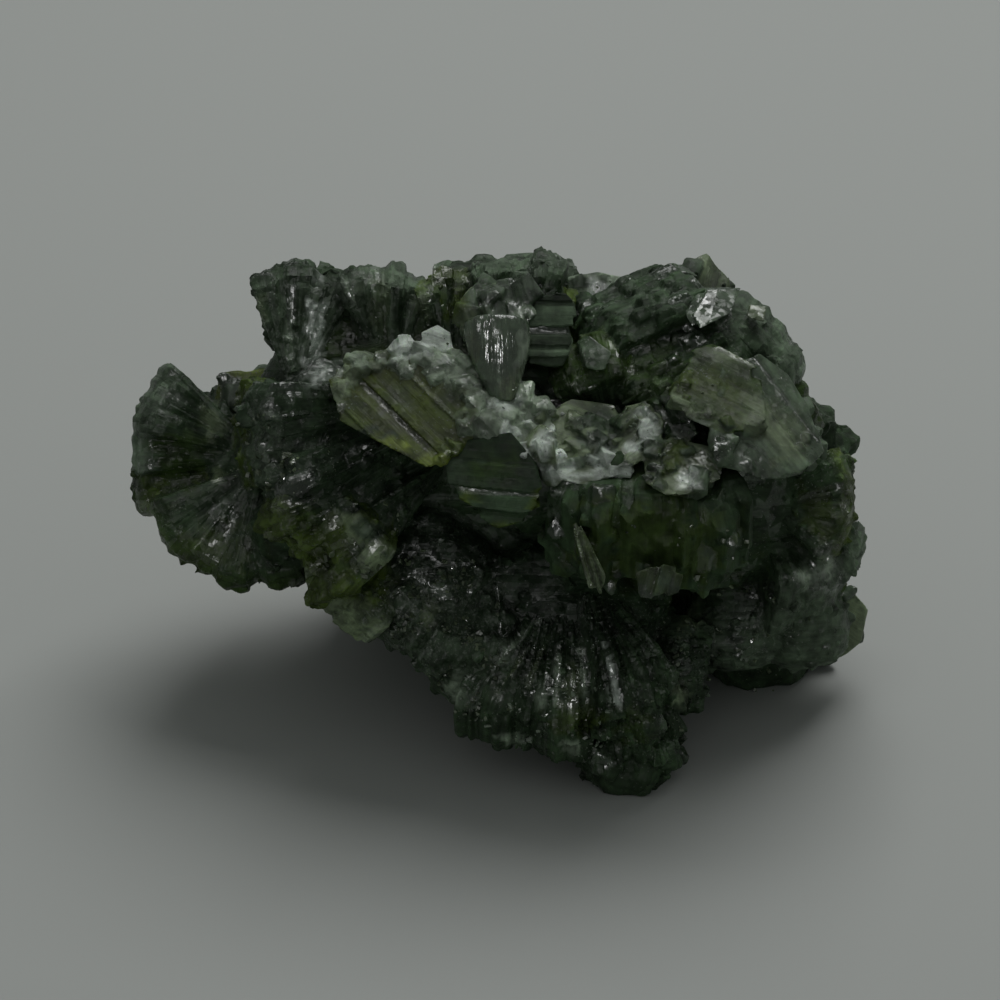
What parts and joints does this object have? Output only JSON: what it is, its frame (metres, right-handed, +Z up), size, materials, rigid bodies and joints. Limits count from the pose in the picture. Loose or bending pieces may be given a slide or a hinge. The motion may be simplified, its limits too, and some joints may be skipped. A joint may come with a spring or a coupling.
{
  "type": "rough prehnite specimen",
  "caption": "Rough dark green prehnite: bladed crystal fans grown into one cluster, with pale broken crystals on top and worn feet below.",
  "frame": {"origin": "middle of the underside of the cluster's box, on the plane it rests on", "axes": "+X along the longest extent, to the right in the front view; -Y towards the front view; +Z up from the resting plane"},
  "size_m": [0.0606, 0.0394, 0.038],
  "materials": {
    "prehnite": "vitreous to waxy crystal, dark green with yellow-green edges and pale broken faces"
  },
  "bodies": {
    "root": {"prehnite_cluster": "prehnite"}
  },
  "joints": []
}
